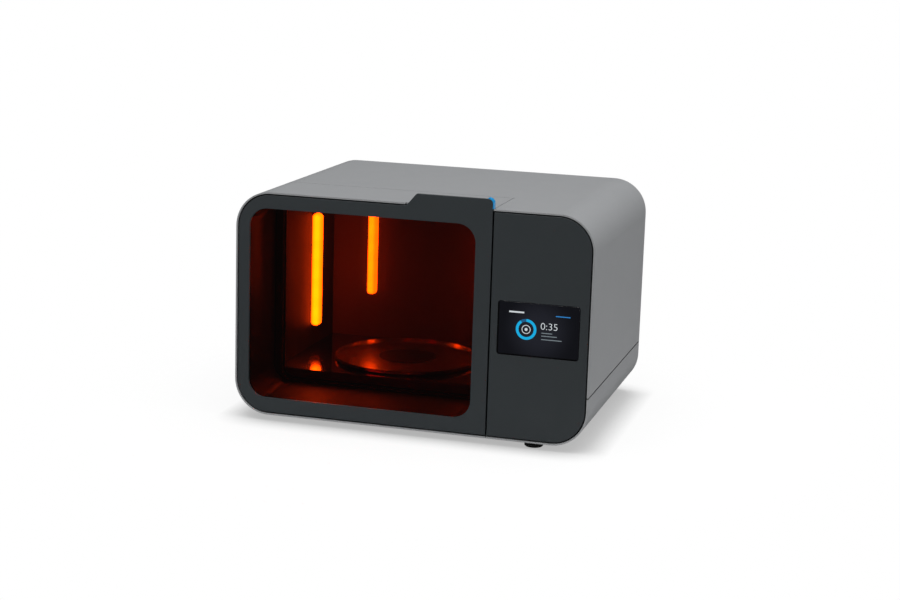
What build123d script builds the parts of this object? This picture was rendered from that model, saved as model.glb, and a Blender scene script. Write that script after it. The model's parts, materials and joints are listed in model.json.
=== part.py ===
from build123d import *
from math import cos, sin, radians, sqrt
import os

# Bench-top ultraviolet curing chamber: a wide case on four feet, with a deep hinged door
# that wraps round the case, a window, a touch display and a chamber with light bars and a turntable.
# The origin is on the table under the middle of the case, and the front faces -Y.

# Case
width = 470.0              # outside of the case, side to side
depth = 345.0              # front plates to the back edge of the case
height = 293.0             # case alone, without its feet and the pull tab
corner_radius = 46.0       # outer corners, seen from the front
sheet = 2.0                # wall of the case and of the door skin
base_height = 64.5         # seam between base shell and upper shell, above the case's underside
seam_line = 0.8            # gap at the seams of the case
lip_thickness = 1.2        # strip inside the base shell that the upper shell slides over
lip_reach = 8.0            # how far that strip stands above and below the seam
relief_radius = 1.4        # small round hole where two seams of the top meet
foot_height = 8.0
foot_diameter = 24.0
foot_inset_x = 71.0        # foot centres from the sides of the case
foot_inset_front = 19.0    # front right foot, from the front
foot_behind_seam = 24.0    # front left foot, behind the door
foot_inset_back = 25.0
foot_floor = 3.0           # rubber under the screw head
foot_bevel = 1.2
foot_bore = 4.0            # radius of the recess round the screw head
clearance = 0.3            # between neighbours that don't touch
seat = 0.1                 # between a screw and what it is screwed into

# Front plates
plate = 3.0                # thickness of door bezel and control panel
reveal = 1.75              # dark gap between the rim of the case and the plates
edge_round = 0.6           # rounded front edges of the plates
control_gap = 2.0          # gap between door bezel and control panel

# Door
door_depth = 98.0          # front to the back edge of the door skin
door_gap = 1.2             # seam behind the door
window_side = 18.4         # case side to window edge
window_right = 20.6        # window edge to the door's right edge
window_bottom = 22.7       # case underside to window edge
window_top = 21.1          # window edge to the top of the case
window_radius = 24.0
pane_thickness = 3.0
pane_overlap = 6.0         # pane beyond the window edge
shoulder = 2.0             # what the pane rests against
duct_wall = 2.2
flange_thickness = 2.0
flange_recess = 5.0        # door's back flange in front of the door skin's back edge
tab_width = 111.7          # foot of the pull tab's slanted end to the door's right edge
tab_slope = 13.0
tab_height = 12.4          # above the top of the case
tab_corner = 6.0
tab_foot_rise = 0.5        # slanted end starts this far above the bezel's top edge
tab_slope_round = 4.0
tab_root = 10.0            # overlap of the tab's outline with the bezel
accent_thickness = 1.2
accent_depth = 8.0
side_plate = 2.0
magnet_radius = 5.0
magnet_height = 3.4
magnet_inset_x = 9.5       # from the door's right edge
magnet_gap = 1.0
magnet_height_from_end = 70.0      # outer magnets, from the top and underside of the case

# Door hinges
knuckle_radius = 3.2
pin_radius = 1.5
pin_clearance = 0.05
hinge_length = 60.0
hinge_above_corner = 33.0  # lower hinge, above the rounded corner
hinge_below_corner = 3.0   # upper hinge, below the rounded corner
knuckle_gap = 0.4
leaf_thickness = 1.6
leaf_length = 20.0
leaf_start = 4.0           # leaf's near edge from the hinge axis
web_gap = 0.2              # web's near edge from the hinge axis
web_overlap = 1.0          # web on its leaf
rivets_per_leaf = 3
rivet_pitch = 24.0
pin_head_radius = 2.4
pin_head = 1.0
rivet_radius = 2.5
rivet_height = 1.2

# Chamber
liner_sheet = 1.2
chamber_side = 19.5        # case side to the chamber's left wall
chamber_to_seam = 20.4     # chamber's right wall to the door's right edge
chamber_floor = 39.0       # above the case's underside
chamber_roof = 19.0        # chamber's ceiling to the top of the case
chamber_back = 20.0        # chamber's back wall to the back edge of the case
frame_sheet = 2.0          # black frame round the chamber's mouth
frame_recess = 1.0         # behind the front edge of the upper shell
mouth_side = 31.2          # case side to the edge of the mouth
mouth_bottom = 27.5
mouth_top = 28.5           # mouth's edge to the top of the case
mouth_radius = 14.0
gasket_width = 9.0
gasket_inset = 2.0         # edge of the mouth to the gasket
gasket_wall = 1.5
gasket_round = 1.2
liner_flange = 10.0        # liner's front flange, outside its walls; twice that below its floor
liner_corner = 30.0

# Light bars
bar_length = 162.0
bar_width = 12.0
bar_proud = 13.0
bar_round = 5.6
bar_end_round = 9.0        # ends of the bars, seen from the side
bar_wall = 1.4
bar_flange = 3.0
bar_flange_thickness = 1.5
carrier_thickness = 5.0
side_bar_behind = 85.5     # side bars, in front of the chamber's back wall
side_bar_height = 149.0    # middle of the side bars
rear_bar_drop = 9.0        # chamber's ceiling to the ends of the rear bars
rear_bar_spread = 177.8    # between the two rear bars
led_board_width = 8.0
led_board_thickness = 1.2
led_size = 3.0
led_pitch = 14.0

# Turntable and its drive
table_front_gap = 12.8     # front of the liner to the rim
table_back_gap = 10.0      # rim to the chamber's back wall
table_sheet = 1.0
table_lift = 2.2           # underside of the plate above the chamber floor
table_rim = 4.0
cap_radius = 40.0
cap_height = 1.0
cap_bevel = 0.6
hub_radius = 20.0
hub_height = 0.9
spindle_radius = 4.0
spindle_length = 17.0
spindle_bevel = 0.5
spindle_end_gap = 1.5      # below the spindle in the motor's bore
bush_radius = 9.7
bush_flange_radius = 14.0
bush_flange = 1.0
motor_size = 42.0
motor_height = 28.0
motor_plate_size = 60.0
motor_plate = 2.0
motor_corner = 4.0
motor_cap = 8.0            # end caps, which stand proud of the body
motor_waist = 1.0          # body inside its end caps
bracket_hole_gap = 1.0

# Under and above the chamber
chassis_sheet = 2.0
chassis_margin = 3.0
chassis_setback = 4.0      # behind the front of the chamber
channel_width = 20.0
channel_sheet = 1.5
channel_inset = 28.0       # chamber wall to the support channel
channel_front = 12.0       # behind the mouth frame
channel_back = 15.8        # in front of the chamber's back wall
heater_side_gap = 6.75     # heating mat to the support channels
heater_depth = 180.0
heater_thickness = 1.5
heater_opening = 70.0
heater_corner = 6.0
insulation_margin = 8.0
probe_y = 150.0            # from the front of the case
probe_drop = 20.0          # below the chamber's ceiling
probe_radius = 2.5
probe_length = 8.0
probe_collar = 2.0

# Control side
divider_gap = 11.8         # chamber liner to the divider of the electronics bay
divider_sheet = 1.5
cable_slot = 26.0
cable_slot_width = 5.0
cable_slots = 8
cable_slot_pitch = 14.0
cable_slot_back = 110.0    # middle of the row, from the back edge of the case
cable_slot_drop = 45.0     # below the top of the case
bulkhead_sheet = 1.5
glass_inset = 9.2          # control panel's left edge to the glass
glass_right = 14.8         # glass to the right side of the case
glass_width = 104.6
glass_bottom = 111.0
glass_height = 68.4
glass_radius = 4.0
glass_thickness = 2.0
module_margin = 1.5
module_depth = 8.0
module_dish = 1.0          # shallow recess in the module's back
module_dish_width = 80.0
module_dish_height = 46.0
glass_bevel = 0.3
strap_height = 24.0
strap_sheet = 1.5
strap_reach = 4.0          # beyond the glass at each end
supply_side = 52.0         # to the right side of the case
supply_width = 50.0
supply_depth = 160.0
supply_height = 98.0
supply_back = 45.0         # to the back edge of the case
supply_bevel = 1.5
supply_slot = 22.0
supply_slot_width = 4.0
supply_slot_depth = 1.2
supply_slot_pitch = (10.0, 30.0)
supply_slots = (4, 4)
board_length = 150.0
board_height = 130.0
board_thickness = 1.6
board_back = 45.0          # to the back edge of the case
board_bottom = 92.0
standoff_height = 6.0
standoff_radius = 3.0
standoff_inset = 6.0
board_corner = 3.0
connector = (30.0, 12.0)
connector_places = (40.0, 80.0)    # along the board
connector_z = 20.0         # above the board's lower edge
relay_size = 18.0
relay_place = (120.0, 40.0)
connector_height = 9.0
sink_size = 44.0
sink_place = (50.0, 80.0)
sink_base = 3.0
sink_fins = 8
sink_fin = 1.4
sink_fin_height = 14.0
board_screw_radius = 2.4

# Back panel, fan, inlet and switch
back_sheet = 1.5
back_recess = 3.0          # behind the edge of the case
screw_inset = 14.0         # back screws, from the edges of the case
screw_from_corner = 10.0   # back screws, from the start of the rounded corners
screw_hole_gap = 0.1
fan_size = 80.0
fan_depth = 25.0
fan_bore = 38.0
fan_side = 75.0            # from the right side of the case
fan_drop = 88.0            # below the top of the case
fan_hub = 15.0
fan_blades = 7
fan_shaft = 2.0
fan_web = 3.0
fan_corner = 4.0
fan_screw_spacing = 71.5
fan_screw_radius = 2.2
fan_strut_overlap = 1.0
fan_end_gap = 4.0          # rotor to the back panel
fan_hub_round = 2.0
blade_sheet = 1.6
blade_root = (13.5, 50.0, 15.0)    # radius, pitch in degrees and chord
blade_tip = (35.0, 28.0, 24.0)
grille_slot = 4.0
grille_pitch = 8.0
vent_length = 20.0
vent_width = 4.0
vent_columns = 14
vent_pitch = 14.0
vent_x = 170.0
vent_z = 60.0
inlet_side = 98.0          # from the right side of the case
inlet_z = 34.0
inlet_width = 27.0
inlet_height = 19.5
inlet_flange = 40.0
inlet_body = 18.0
inlet_wall = 1.8
inlet_flange_height = 22.5
fitting_flange = 2.0       # flanges of inlet and switch
blade_width = 2.0
blade_height = 4.0
blade_spacing = 7.0
blade_rise = (-1.5, 2.5)   # outer blades and earth blade, from the middle
blade_short = 4.0          # inside the socket's edge
blade_bevel = 0.5
switch_side = 45.0         # from the right side of the case
switch_z = 34.0
switch_width = 21.0
switch_height = 27.0
switch_rim = 2.0
switch_body = 16.0
switch_flange = 1.5
switch_flange_reach = 2.0
switch_corner = 1.5
switch_pocket = 9.0
rocker_depth = 1.5         # axle, in front of the back panel's outside
axle_end = 1.0             # axle in the frame at each side
rocker_end_gap = 0.8
rocker_back = 3.0          # axle to the rocker's inner ends
rocker_face = 2.4          # axle to its outer ends
rocker_bulge = 3.6         # axle to the middle of its face
rocker_keel = 4.0          # axle to the middle of its back
rocker_swing = 7.0         # degrees each side of level
screw_head = 3.0
screw_head_height = 1.6
screw_shank = 1.5
screw_length = 5.0

# Places worked out from the sizes
left = -width / 2 + knuckle_radius / 2
right = left + width
middle = left + width / 2
front = -depth / 2
back = depth / 2
bottom = foot_height
top = bottom + height
seam_z = bottom + base_height
panel_left = right - glass_right - glass_width - glass_inset
door_right = panel_left - control_gap
cut_x = (door_right + panel_left) / 2
tab_x = door_right - tab_width
door_back = front + door_depth
case_front = door_back + door_gap
hinge_y = (door_back + case_front) / 2
frame_y = case_front + frame_recess
liner_y = frame_y + frame_sheet
flange_y = door_back - flange_recess
chamber_left = left + chamber_side
chamber_right = door_right - chamber_to_seam
chamber_width = chamber_right - chamber_left
chamber_middle = (chamber_left + chamber_right) / 2
floor_z = bottom + chamber_floor
ceiling_z = top - chamber_roof
chamber_height = ceiling_z - floor_z
chamber_rear = back - chamber_back
panel_y = back - back_recess
panel_inner = panel_y - back_sheet
table_radius = (chamber_rear - liner_y - table_front_gap - table_back_gap) / 2
table_y = chamber_rear - table_back_gap - table_radius
table_z = floor_z + table_lift
chassis_z = bottom + sheet
chassis_top = chassis_z + chassis_sheet
heater_width = chamber_width - 2 * (channel_inset + channel_width + heater_side_gap)
divider_x = chamber_right + liner_sheet + divider_gap
bulkhead_y = front + plate
window_width = door_right - window_right - left - window_side
window_height = height - window_bottom - window_top
window_x = left + window_side + window_width / 2
window_z = bottom + window_bottom + window_height / 2
mouth_width = 2 * (window_x - left - mouth_side)
mouth_height = height - mouth_bottom - mouth_top
mouth_z = bottom + mouth_bottom + mouth_height / 2
hinge_zs = [
    bottom + corner_radius + hinge_above_corner + hinge_length / 2,
    top - corner_radius - hinge_below_corner - hinge_length / 2,
]
backwards = (0, 1, 0)


def upright(y):
    # Sketch plane that faces the front: local x to the right, local y up
    return Plane.XZ.offset(-y)


def case_outline(inset, mode=Mode.ADD):
    with Locations((middle, (bottom + top) / 2)):
        RectangleRounded(width - 2 * inset, height - 2 * inset, corner_radius - inset, mode=mode)


def window_outline(grow, mode=Mode.ADD):
    with Locations((window_x, window_z)):
        RectangleRounded(window_width + 2 * grow, window_height + 2 * grow, window_radius + grow, mode=mode)


def mouth_outline(grow, mode=Mode.ADD):
    with Locations((window_x, mouth_z)):
        RectangleRounded(mouth_width + 2 * grow, mouth_height + 2 * grow, mouth_radius + grow, mode=mode)


def block(x, y, z, mode=Mode.ADD):
    # Block between two values on each axis
    with Locations(((x[0] + x[1]) / 2, (y[0] + y[1]) / 2, (z[0] + z[1]) / 2)):
        Box(x[1] - x[0], y[1] - y[0], z[1] - z[0], mode=mode)


def cut_left_of(x, y=(front - 1, back + 1)):
    block((left - 10, x), y, (bottom - 1, top + tab_height + 1), Mode.SUBTRACT)


def cut_right_of(x, y=(front - 1, back + 1)):
    block((x, right + 10), y, (bottom - 1, top + tab_height + 1), Mode.SUBTRACT)


def hinge_notches(y, x_end):
    # Room for the knuckles and leaves in a piece that passes the hinges
    for z in hinge_zs:
        reach = hinge_length / 2 + pin_head + clearance
        block((left - 1, x_end), y, (z - reach, z + reach), Mode.SUBTRACT)


def keep(builder, name):
    builder.part.label = name
    export_step(builder.part, f"parts/{name}.step")


os.makedirs("parts", exist_ok=True)

# Upper shell: top, both sides and the strip above the control panel, cut away for the door
notch_y = knuckle_radius + 0.5
with BuildPart() as upper_shell:
    with BuildSketch(upright(front)):
        case_outline(0)
        case_outline(sheet, Mode.SUBTRACT)
    extrude(amount=depth, dir=backwards)
    block((left - 1, right + 1), (front - 1, back + 1), (bottom - 1, seam_z + seam_line / 2), Mode.SUBTRACT)
    cut_left_of(cut_x + seam_line / 2, (front - 1, case_front))
    hinge_notches((case_front - 1, hinge_y + notch_y), left + sheet + 1)
    with Locations((cut_x + seam_line / 2, case_front, top)):
        Hole(radius=relief_radius, depth=2 * sheet)
keep(upper_shell, "upper_shell")

# Base shell: underside and lower sides, with a strip on each side that laps inside the upper shell
with BuildPart() as base_shell:
    with BuildSketch(upright(front)):
        case_outline(0)
        case_outline(sheet, Mode.SUBTRACT)
    extrude(amount=depth, dir=backwards)
    block((left - 1, right + 1), (front - 1, back + 1), (seam_z - seam_line / 2, top + 1), Mode.SUBTRACT)
    cut_left_of(cut_x + seam_line / 2, (front - 1, case_front))
    lip_back = panel_inner - clearance
    lap = (seam_z - lip_reach, seam_z + lip_reach)
    block((left + sheet, left + sheet + lip_thickness), (liner_y + liner_sheet, lip_back), lap)
    block((right - sheet - lip_thickness, right - sheet), (bulkhead_y + bulkhead_sheet, lip_back), lap)
keep(base_shell, "base_shell")

# Feet: tapered rubber discs screwed to the base shell, with the screw in a counterbore
foot_places = [
    (right - foot_inset_x, front + foot_inset_front),
    (left + foot_inset_x, case_front + foot_behind_seam),
    (right - foot_inset_x, back - foot_inset_back),
    (left + foot_inset_x, back - foot_inset_back),
]
foot_recess = foot_height - foot_floor
with BuildPart() as feet:
    with BuildSketch(Plane.XY):
        with Locations(*foot_places):
            Circle(foot_diameter / 2)
    extrude(amount=foot_height)
    chamfer(feet.faces().sort_by(Axis.Z)[:4].edges(), foot_bevel)
    with Locations(*[Location((x, y, 0), (180, 0, 0)) for x, y in foot_places]):
        CounterBoreHole(screw_shank + 2 * screw_hole_gap, foot_bore, foot_recess, foot_height)
keep(feet, "feet")

with BuildPart() as foot_screws:
    with BuildSketch(Plane.XY.offset(foot_recess - screw_head_height)):
        with Locations(*foot_places):
            Circle(screw_head)
    extrude(amount=screw_head_height)
    with BuildSketch(Plane.XY.offset(foot_recess)):
        with Locations(*foot_places):
            Circle(screw_shank)
    extrude(amount=foot_floor - seat)
keep(foot_screws, "foot_screws")

# Chassis plate on the floor of the base shell, with an arm to the front under the control side
chassis_left = left + corner_radius + chassis_margin
chassis_right = right - corner_radius - chassis_margin
with BuildPart() as chassis_plate:
    with BuildSketch(Plane.XY.offset(chassis_z)):
        with BuildLine():
            Polyline(
                (chassis_left, liner_y + chassis_setback),
                (panel_left + side_plate + clearance, liner_y + chassis_setback),
                (panel_left + side_plate + clearance, bulkhead_y + bulkhead_sheet + clearance),
                (chassis_right, bulkhead_y + bulkhead_sheet + clearance),
                (chassis_right, panel_inner - clearance),
                (chassis_left, panel_inner - clearance),
                close=True,
            )
        make_face()
    extrude(amount=chassis_sheet)
keep(chassis_plate, "chassis_plate")

# Frame round the mouth of the chamber, black, set into the front edge of the shells
frame_right = panel_left + side_plate
with BuildPart() as mouth_frame:
    with BuildSketch(upright(frame_y)):
        case_outline(sheet + clearance)
        mouth_outline(0, Mode.SUBTRACT)
    extrude(amount=frame_sheet, dir=backwards)
    cut_right_of(frame_right)
    hinge_notches((frame_y - 1, liner_y + 1), left + sheet + leaf_thickness + clearance)
keep(mouth_frame, "mouth_frame")

# Door gasket: soft hollow ring on the mouth frame
gasket_front = flange_y + clearance
with BuildPart() as door_gasket:
    with BuildSketch(upright(gasket_front)):
        mouth_outline(gasket_inset + gasket_width)
        mouth_outline(gasket_inset, Mode.SUBTRACT)
    extrude(amount=frame_y - gasket_front, dir=backwards)
    with BuildSketch(upright(frame_y)):
        mouth_outline(gasket_inset + gasket_width - gasket_wall)
        mouth_outline(gasket_inset + gasket_wall, Mode.SUBTRACT)
    extrude(amount=frame_y - gasket_front - gasket_wall, mode=Mode.SUBTRACT)
    fillet(door_gasket.faces().sort_by(Axis.Y)[0].edges(), gasket_round)
keep(door_gasket, "door_gasket")

# Chamber liner: sheet box, open at the front, with a flange behind the mouth frame
rear_bar_z = ceiling_z - rear_bar_drop - bar_length / 2
left_bar_plane = Plane(
    origin=(chamber_left, chamber_rear - side_bar_behind, bottom + side_bar_height),
    x_dir=(0, 1, 0),
    z_dir=(1, 0, 0),
)
right_bar_plane = Plane(
    origin=(chamber_right, chamber_rear - side_bar_behind, bottom + side_bar_height),
    x_dir=(0, -1, 0),
    z_dir=(-1, 0, 0),
)
rear_left_bar_plane = Plane(
    origin=(chamber_middle - rear_bar_spread / 2, chamber_rear, rear_bar_z),
    x_dir=(1, 0, 0),
    z_dir=(0, -1, 0),
)
rear_right_bar_plane = Plane(
    origin=(chamber_middle + rear_bar_spread / 2, chamber_rear, rear_bar_z),
    x_dir=(1, 0, 0),
    z_dir=(0, -1, 0),
)
bar_planes = {
    "left": left_bar_plane,
    "right": right_bar_plane,
    "rear_left": rear_left_bar_plane,
    "rear_right": rear_right_bar_plane,
}
with BuildPart() as chamber_liner:
    block(
        (chamber_left - liner_sheet, chamber_right + liner_sheet),
        (liner_y, chamber_rear + liner_sheet),
        (floor_z - liner_sheet, ceiling_z + liner_sheet),
    )
    with BuildSketch(upright(liner_y)):
        with Locations((chamber_middle, (floor_z + ceiling_z - liner_flange) / 2)):
            RectangleRounded(
                chamber_width + 2 * liner_flange, chamber_height + 3 * liner_flange, liner_corner
            )
    extrude(amount=liner_sheet, dir=backwards)
    block((chamber_left, chamber_right), (liner_y - 1, chamber_rear), (floor_z, ceiling_z), Mode.SUBTRACT)
    for plane in bar_planes.values():
        with BuildSketch(plane):
            SlotOverall(bar_length + 2 * clearance, bar_width + 2 * clearance, rotation=90)
        extrude(amount=-2 * liner_sheet, mode=Mode.SUBTRACT)
    with Locations((chamber_middle, table_y, floor_z)):
        Hole(radius=bush_radius + clearance, depth=2 * liner_sheet)
keep(chamber_liner, "chamber_liner")

# Light bars: a domed diffuser through each slot, a carrier behind it and a strip of diodes
carrier_plane_drop = liner_sheet + bar_flange_thickness
for side, plane in bar_planes.items():
    inwards = Axis(plane.origin, plane.z_dir)
    with BuildPart() as diffuser:
        with BuildSketch(plane.offset(-liner_sheet)):
            SlotOverall(bar_length, bar_width, rotation=90)
        extrude(amount=bar_proud + liner_sheet)
        fillet(diffuser.faces().sort_by(inwards)[-1].edges(), bar_round)
        with BuildSketch(Plane(plane.origin, x_dir=plane.z_dir, z_dir=plane.x_dir)):
            RectangleRounded(2 * bar_proud, bar_length, bar_end_round)
        extrude(amount=bar_width, both=True, mode=Mode.INTERSECT)
        with BuildSketch(plane.offset(-liner_sheet)):
            SlotOverall(bar_length + 2 * bar_flange, bar_width + 2 * bar_flange, rotation=90)
        extrude(amount=-bar_flange_thickness)
        with BuildSketch(plane.offset(-carrier_plane_drop)):
            SlotOverall(bar_length - 2 * bar_wall, bar_width - 2 * bar_wall, rotation=90)
        extrude(amount=carrier_plane_drop + bar_proud - bar_round - bar_wall, mode=Mode.SUBTRACT)
    keep(diffuser, f"{side}_light_diffuser")

with BuildPart() as light_carriers:
    for plane in bar_planes.values():
        with BuildSketch(plane.offset(-carrier_plane_drop)):
            SlotOverall(bar_length + 2 * bar_flange, bar_width + 2 * bar_flange, rotation=90)
        extrude(amount=-carrier_thickness)
keep(light_carriers, "light_carriers")

led_span = bar_length - 2 * bar_width
led_count = int(led_span / led_pitch) + 1
with BuildPart() as led_strips:
    for plane in bar_planes.values():
        with BuildSketch(plane.offset(-carrier_plane_drop)):
            Rectangle(led_board_width, bar_length - bar_width)
        extrude(amount=led_board_thickness)
        with BuildSketch(plane.offset(led_board_thickness - carrier_plane_drop)):
            with GridLocations(led_pitch, led_pitch, 1, led_count):
                Rectangle(led_size, led_size)
        extrude(amount=led_board_thickness)
keep(led_strips, "led_strips")

# Turntable: thin plate with a turned-up rim, a cap on top, and a hub and spindle below
table_axis = (chamber_middle, table_y)
with BuildPart() as turntable_plate:
    with BuildSketch(Plane.XZ.offset(-table_y)):
        with BuildLine():
            Polyline(
                (chamber_middle, table_z),
                (chamber_middle + table_radius, table_z),
                (chamber_middle + table_radius, table_z + table_rim),
                (chamber_middle + table_radius - table_sheet, table_z + table_rim),
                (chamber_middle + table_radius - table_sheet, table_z + table_sheet),
                (chamber_middle, table_z + table_sheet),
                close=True,
            )
        make_face()
    revolve(axis=Axis((chamber_middle, table_y, 0), (0, 0, 1)))
keep(turntable_plate, "turntable_plate")

with BuildPart() as turntable_cap:
    with BuildSketch(Plane.XY.offset(table_z + table_sheet)):
        with Locations(table_axis):
            Circle(cap_radius)
    extrude(amount=cap_height)
    chamfer(turntable_cap.faces().sort_by(Axis.Z)[-1].edges(), cap_bevel)
keep(turntable_cap, "turntable_cap")

spindle_top = table_z - hub_height
with BuildPart() as turntable_hub:
    with BuildSketch(Plane.XY.offset(table_z)):
        with Locations(table_axis):
            Circle(hub_radius)
    extrude(amount=-hub_height)
    with BuildSketch(Plane.XY.offset(spindle_top)):
        with Locations(table_axis):
            Circle(spindle_radius)
    extrude(amount=-spindle_length)
    chamfer(turntable_hub.faces().sort_by(Axis.Z)[0].edges(), spindle_bevel)
keep(turntable_hub, "turntable_hub")

under_floor = floor_z - liner_sheet
with BuildPart() as turntable_bush:
    with BuildSketch(Plane.XY.offset(floor_z)):
        with Locations(table_axis):
            Circle(bush_flange_radius)
    extrude(amount=bush_flange)
    with BuildSketch(Plane.XY.offset(under_floor)):
        with Locations(table_axis):
            Circle(bush_radius)
    extrude(amount=liner_sheet)
    with Locations((chamber_middle, table_y, floor_z + bush_flange)):
        Hole(radius=spindle_radius + pin_clearance, depth=bush_flange + liner_sheet)
keep(turntable_bush, "turntable_bush")

# Drive: square geared motor hanging from a plate under the chamber floor
with BuildPart() as motor_bracket:
    with BuildSketch(Plane.XY.offset(under_floor - motor_plate)):
        with Locations(table_axis):
            RectangleRounded(motor_plate_size, motor_plate_size, motor_corner)
    extrude(amount=motor_plate)
    with Locations((chamber_middle, table_y, under_floor)):
        Hole(radius=spindle_radius + bracket_hole_gap, depth=motor_plate)
keep(motor_bracket, "motor_bracket")

motor_top = under_floor - motor_plate
waist_size = motor_size - 2 * motor_waist
bore_depth = spindle_length - (spindle_top - motor_top) + spindle_end_gap
with BuildPart() as turntable_motor:
    with BuildSketch(Plane.XY.offset(motor_top)):
        with Locations(table_axis):
            RectangleRounded(motor_size, motor_size, motor_corner)
    extrude(amount=-motor_height)
    with BuildSketch(Plane.XY.offset(motor_top - motor_cap)):
        with Locations(table_axis):
            RectangleRounded(motor_size + 1, motor_size + 1, motor_corner)
            RectangleRounded(waist_size, waist_size, motor_corner, mode=Mode.SUBTRACT)
    extrude(amount=2 * motor_cap - motor_height, mode=Mode.SUBTRACT)
    with Locations((chamber_middle, table_y, motor_top)):
        Hole(radius=spindle_radius + pin_clearance, depth=bore_depth)
keep(turntable_motor, "turntable_motor")

# Heating mat glued under the chamber floor, with an opening for the drive
with BuildPart() as heating_mat:
    with BuildSketch(Plane.XY.offset(under_floor)):
        with Locations(table_axis):
            RectangleRounded(heater_width, heater_depth, heater_corner)
            RectangleRounded(heater_opening, heater_opening, heater_corner, mode=Mode.SUBTRACT)
    extrude(amount=-heater_thickness)
keep(heating_mat, "heating_mat")

# Two C-shaped channels that carry the chamber on the chassis plate
channel_height = under_floor - chassis_top
channel_y = liner_y + channel_front
for side, x, turn in (
    ("left", chamber_left + channel_inset, 1),
    ("right", chamber_right - channel_inset, -1),
):
    with BuildPart() as channel:
        with BuildSketch(upright(channel_y)):
            with BuildLine():
                Polyline(
                    (x, chassis_top),
                    (x, under_floor),
                    (x + turn * channel_width, under_floor),
                    (x + turn * channel_width, under_floor - channel_sheet),
                    (x + turn * channel_sheet, under_floor - channel_sheet),
                    (x + turn * channel_sheet, chassis_top + channel_sheet),
                    (x + turn * channel_width, chassis_top + channel_sheet),
                    (x + turn * channel_width, chassis_top),
                    close=True,
                )
            make_face()
        extrude(amount=chamber_rear - channel_back - channel_y, dir=backwards)
    keep(channel, f"{side}_chamber_channel")

# Foam slab between the chamber and the top of the case
insulation_x = (left + corner_radius, chamber_right - insulation_margin)
insulation_y = (liner_y + liner_sheet + insulation_margin, chamber_rear - insulation_margin)
with BuildPart() as top_insulation:
    block(insulation_x, insulation_y, (ceiling_z + liner_sheet, top - sheet - clearance))
keep(top_insulation, "top_insulation")

# Temperature probe through the right wall of the chamber
with BuildPart() as temperature_probe:
    with BuildSketch(Plane.YZ.offset(chamber_right)):
        with Locations((front + probe_y, ceiling_z - probe_drop)):
            Circle(probe_radius * 2)
    extrude(amount=-probe_collar)
    with BuildSketch(Plane.YZ.offset(chamber_right - probe_collar)):
        with Locations((front + probe_y, ceiling_z - probe_drop)):
            Circle(probe_radius)
    extrude(amount=-probe_length)
    chamfer(temperature_probe.faces().sort_by(Axis.X)[0].edges(), probe_radius / 2)
keep(temperature_probe, "temperature_probe")

# Divider between chamber and electronics
with BuildPart() as bay_divider:
    divider_z = (chassis_top, top - sheet - clearance)
    block((divider_x, divider_x + divider_sheet), (liner_y, panel_inner), divider_z)
    with BuildSketch(Plane.YZ.offset(divider_x)):
        with Locations((back - cable_slot_back, top - cable_slot_drop)):
            with GridLocations(cable_slot_pitch, 0, cable_slots, 1):
                SlotOverall(cable_slot, cable_slot_width, rotation=90)
    extrude(amount=divider_sheet, mode=Mode.SUBTRACT)
keep(bay_divider, "bay_divider")

# Bulkhead behind the control panel and side wall beside the door
module_x = panel_left + glass_inset + glass_width / 2
module_z = bottom + glass_bottom + glass_height / 2
module_width = glass_width - 2 * module_margin
module_height = glass_height - 2 * module_margin
with BuildPart() as front_bulkhead:
    with BuildSketch(upright(bulkhead_y)):
        case_outline(sheet + clearance)
        with Locations((module_x, module_z)):
            Rectangle(module_width + 2 * clearance, module_height + 2 * clearance, mode=Mode.SUBTRACT)
    extrude(amount=bulkhead_sheet, dir=backwards)
    cut_left_of(panel_left)
keep(front_bulkhead, "front_bulkhead")

with BuildPart() as bay_side_wall:
    block(
        (panel_left, panel_left + side_plate),
        (bulkhead_y + bulkhead_sheet, frame_y),
        (bottom + sheet + clearance, top - sheet - clearance),
    )
keep(bay_side_wall, "bay_side_wall")

# Control panel: plain front plate with the display's opening
with BuildPart() as control_panel:
    with BuildSketch(upright(front)):
        case_outline(sheet + reveal)
        with Locations((module_x, module_z)):
            RectangleRounded(
                glass_width + 2 * clearance, glass_height + 2 * clearance, glass_radius, mode=Mode.SUBTRACT
            )
    extrude(amount=plate, dir=backwards)
    cut_left_of(panel_left)
    fillet(control_panel.faces().sort_by(Axis.Y)[0].outer_wire().edges(), edge_round)
keep(control_panel, "control_panel")

with BuildPart() as display_glass:
    with BuildSketch(upright(front)):
        with Locations((module_x, module_z)):
            RectangleRounded(glass_width, glass_height, glass_radius)
    extrude(amount=glass_thickness, dir=backwards)
    chamfer(display_glass.faces().sort_by(Axis.Y)[0].edges(), glass_bevel)
keep(display_glass, "display_glass")

glass_back = front + glass_thickness
with BuildPart() as display_module:
    with BuildSketch(upright(glass_back)):
        with Locations((module_x, module_z)):
            Rectangle(module_width, module_height)
    extrude(amount=module_depth, dir=backwards)
    with BuildSketch(upright(glass_back + module_depth)):
        with Locations((module_x, module_z)):
            Rectangle(module_dish_width, module_dish_height)
    extrude(amount=-module_dish, dir=backwards, mode=Mode.SUBTRACT)
keep(display_module, "display_module")

# Strap across the back of the display, fixed to the bulkhead at both ends
strap_y = glass_back + module_depth
strap_z = (module_z - strap_height / 2, module_z + strap_height / 2)
strap_half = glass_width / 2 + strap_reach
strap_x = (module_x - strap_half, module_x + strap_half)
with BuildPart() as display_strap:
    block(strap_x, (strap_y, strap_y + strap_sheet), strap_z)
    for x in ((strap_x[0], strap_x[0] + strap_sheet), (strap_x[1] - strap_sheet, strap_x[1])):
        block(x, (bulkhead_y + bulkhead_sheet, strap_y), strap_z)
keep(display_strap, "display_strap")

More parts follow.
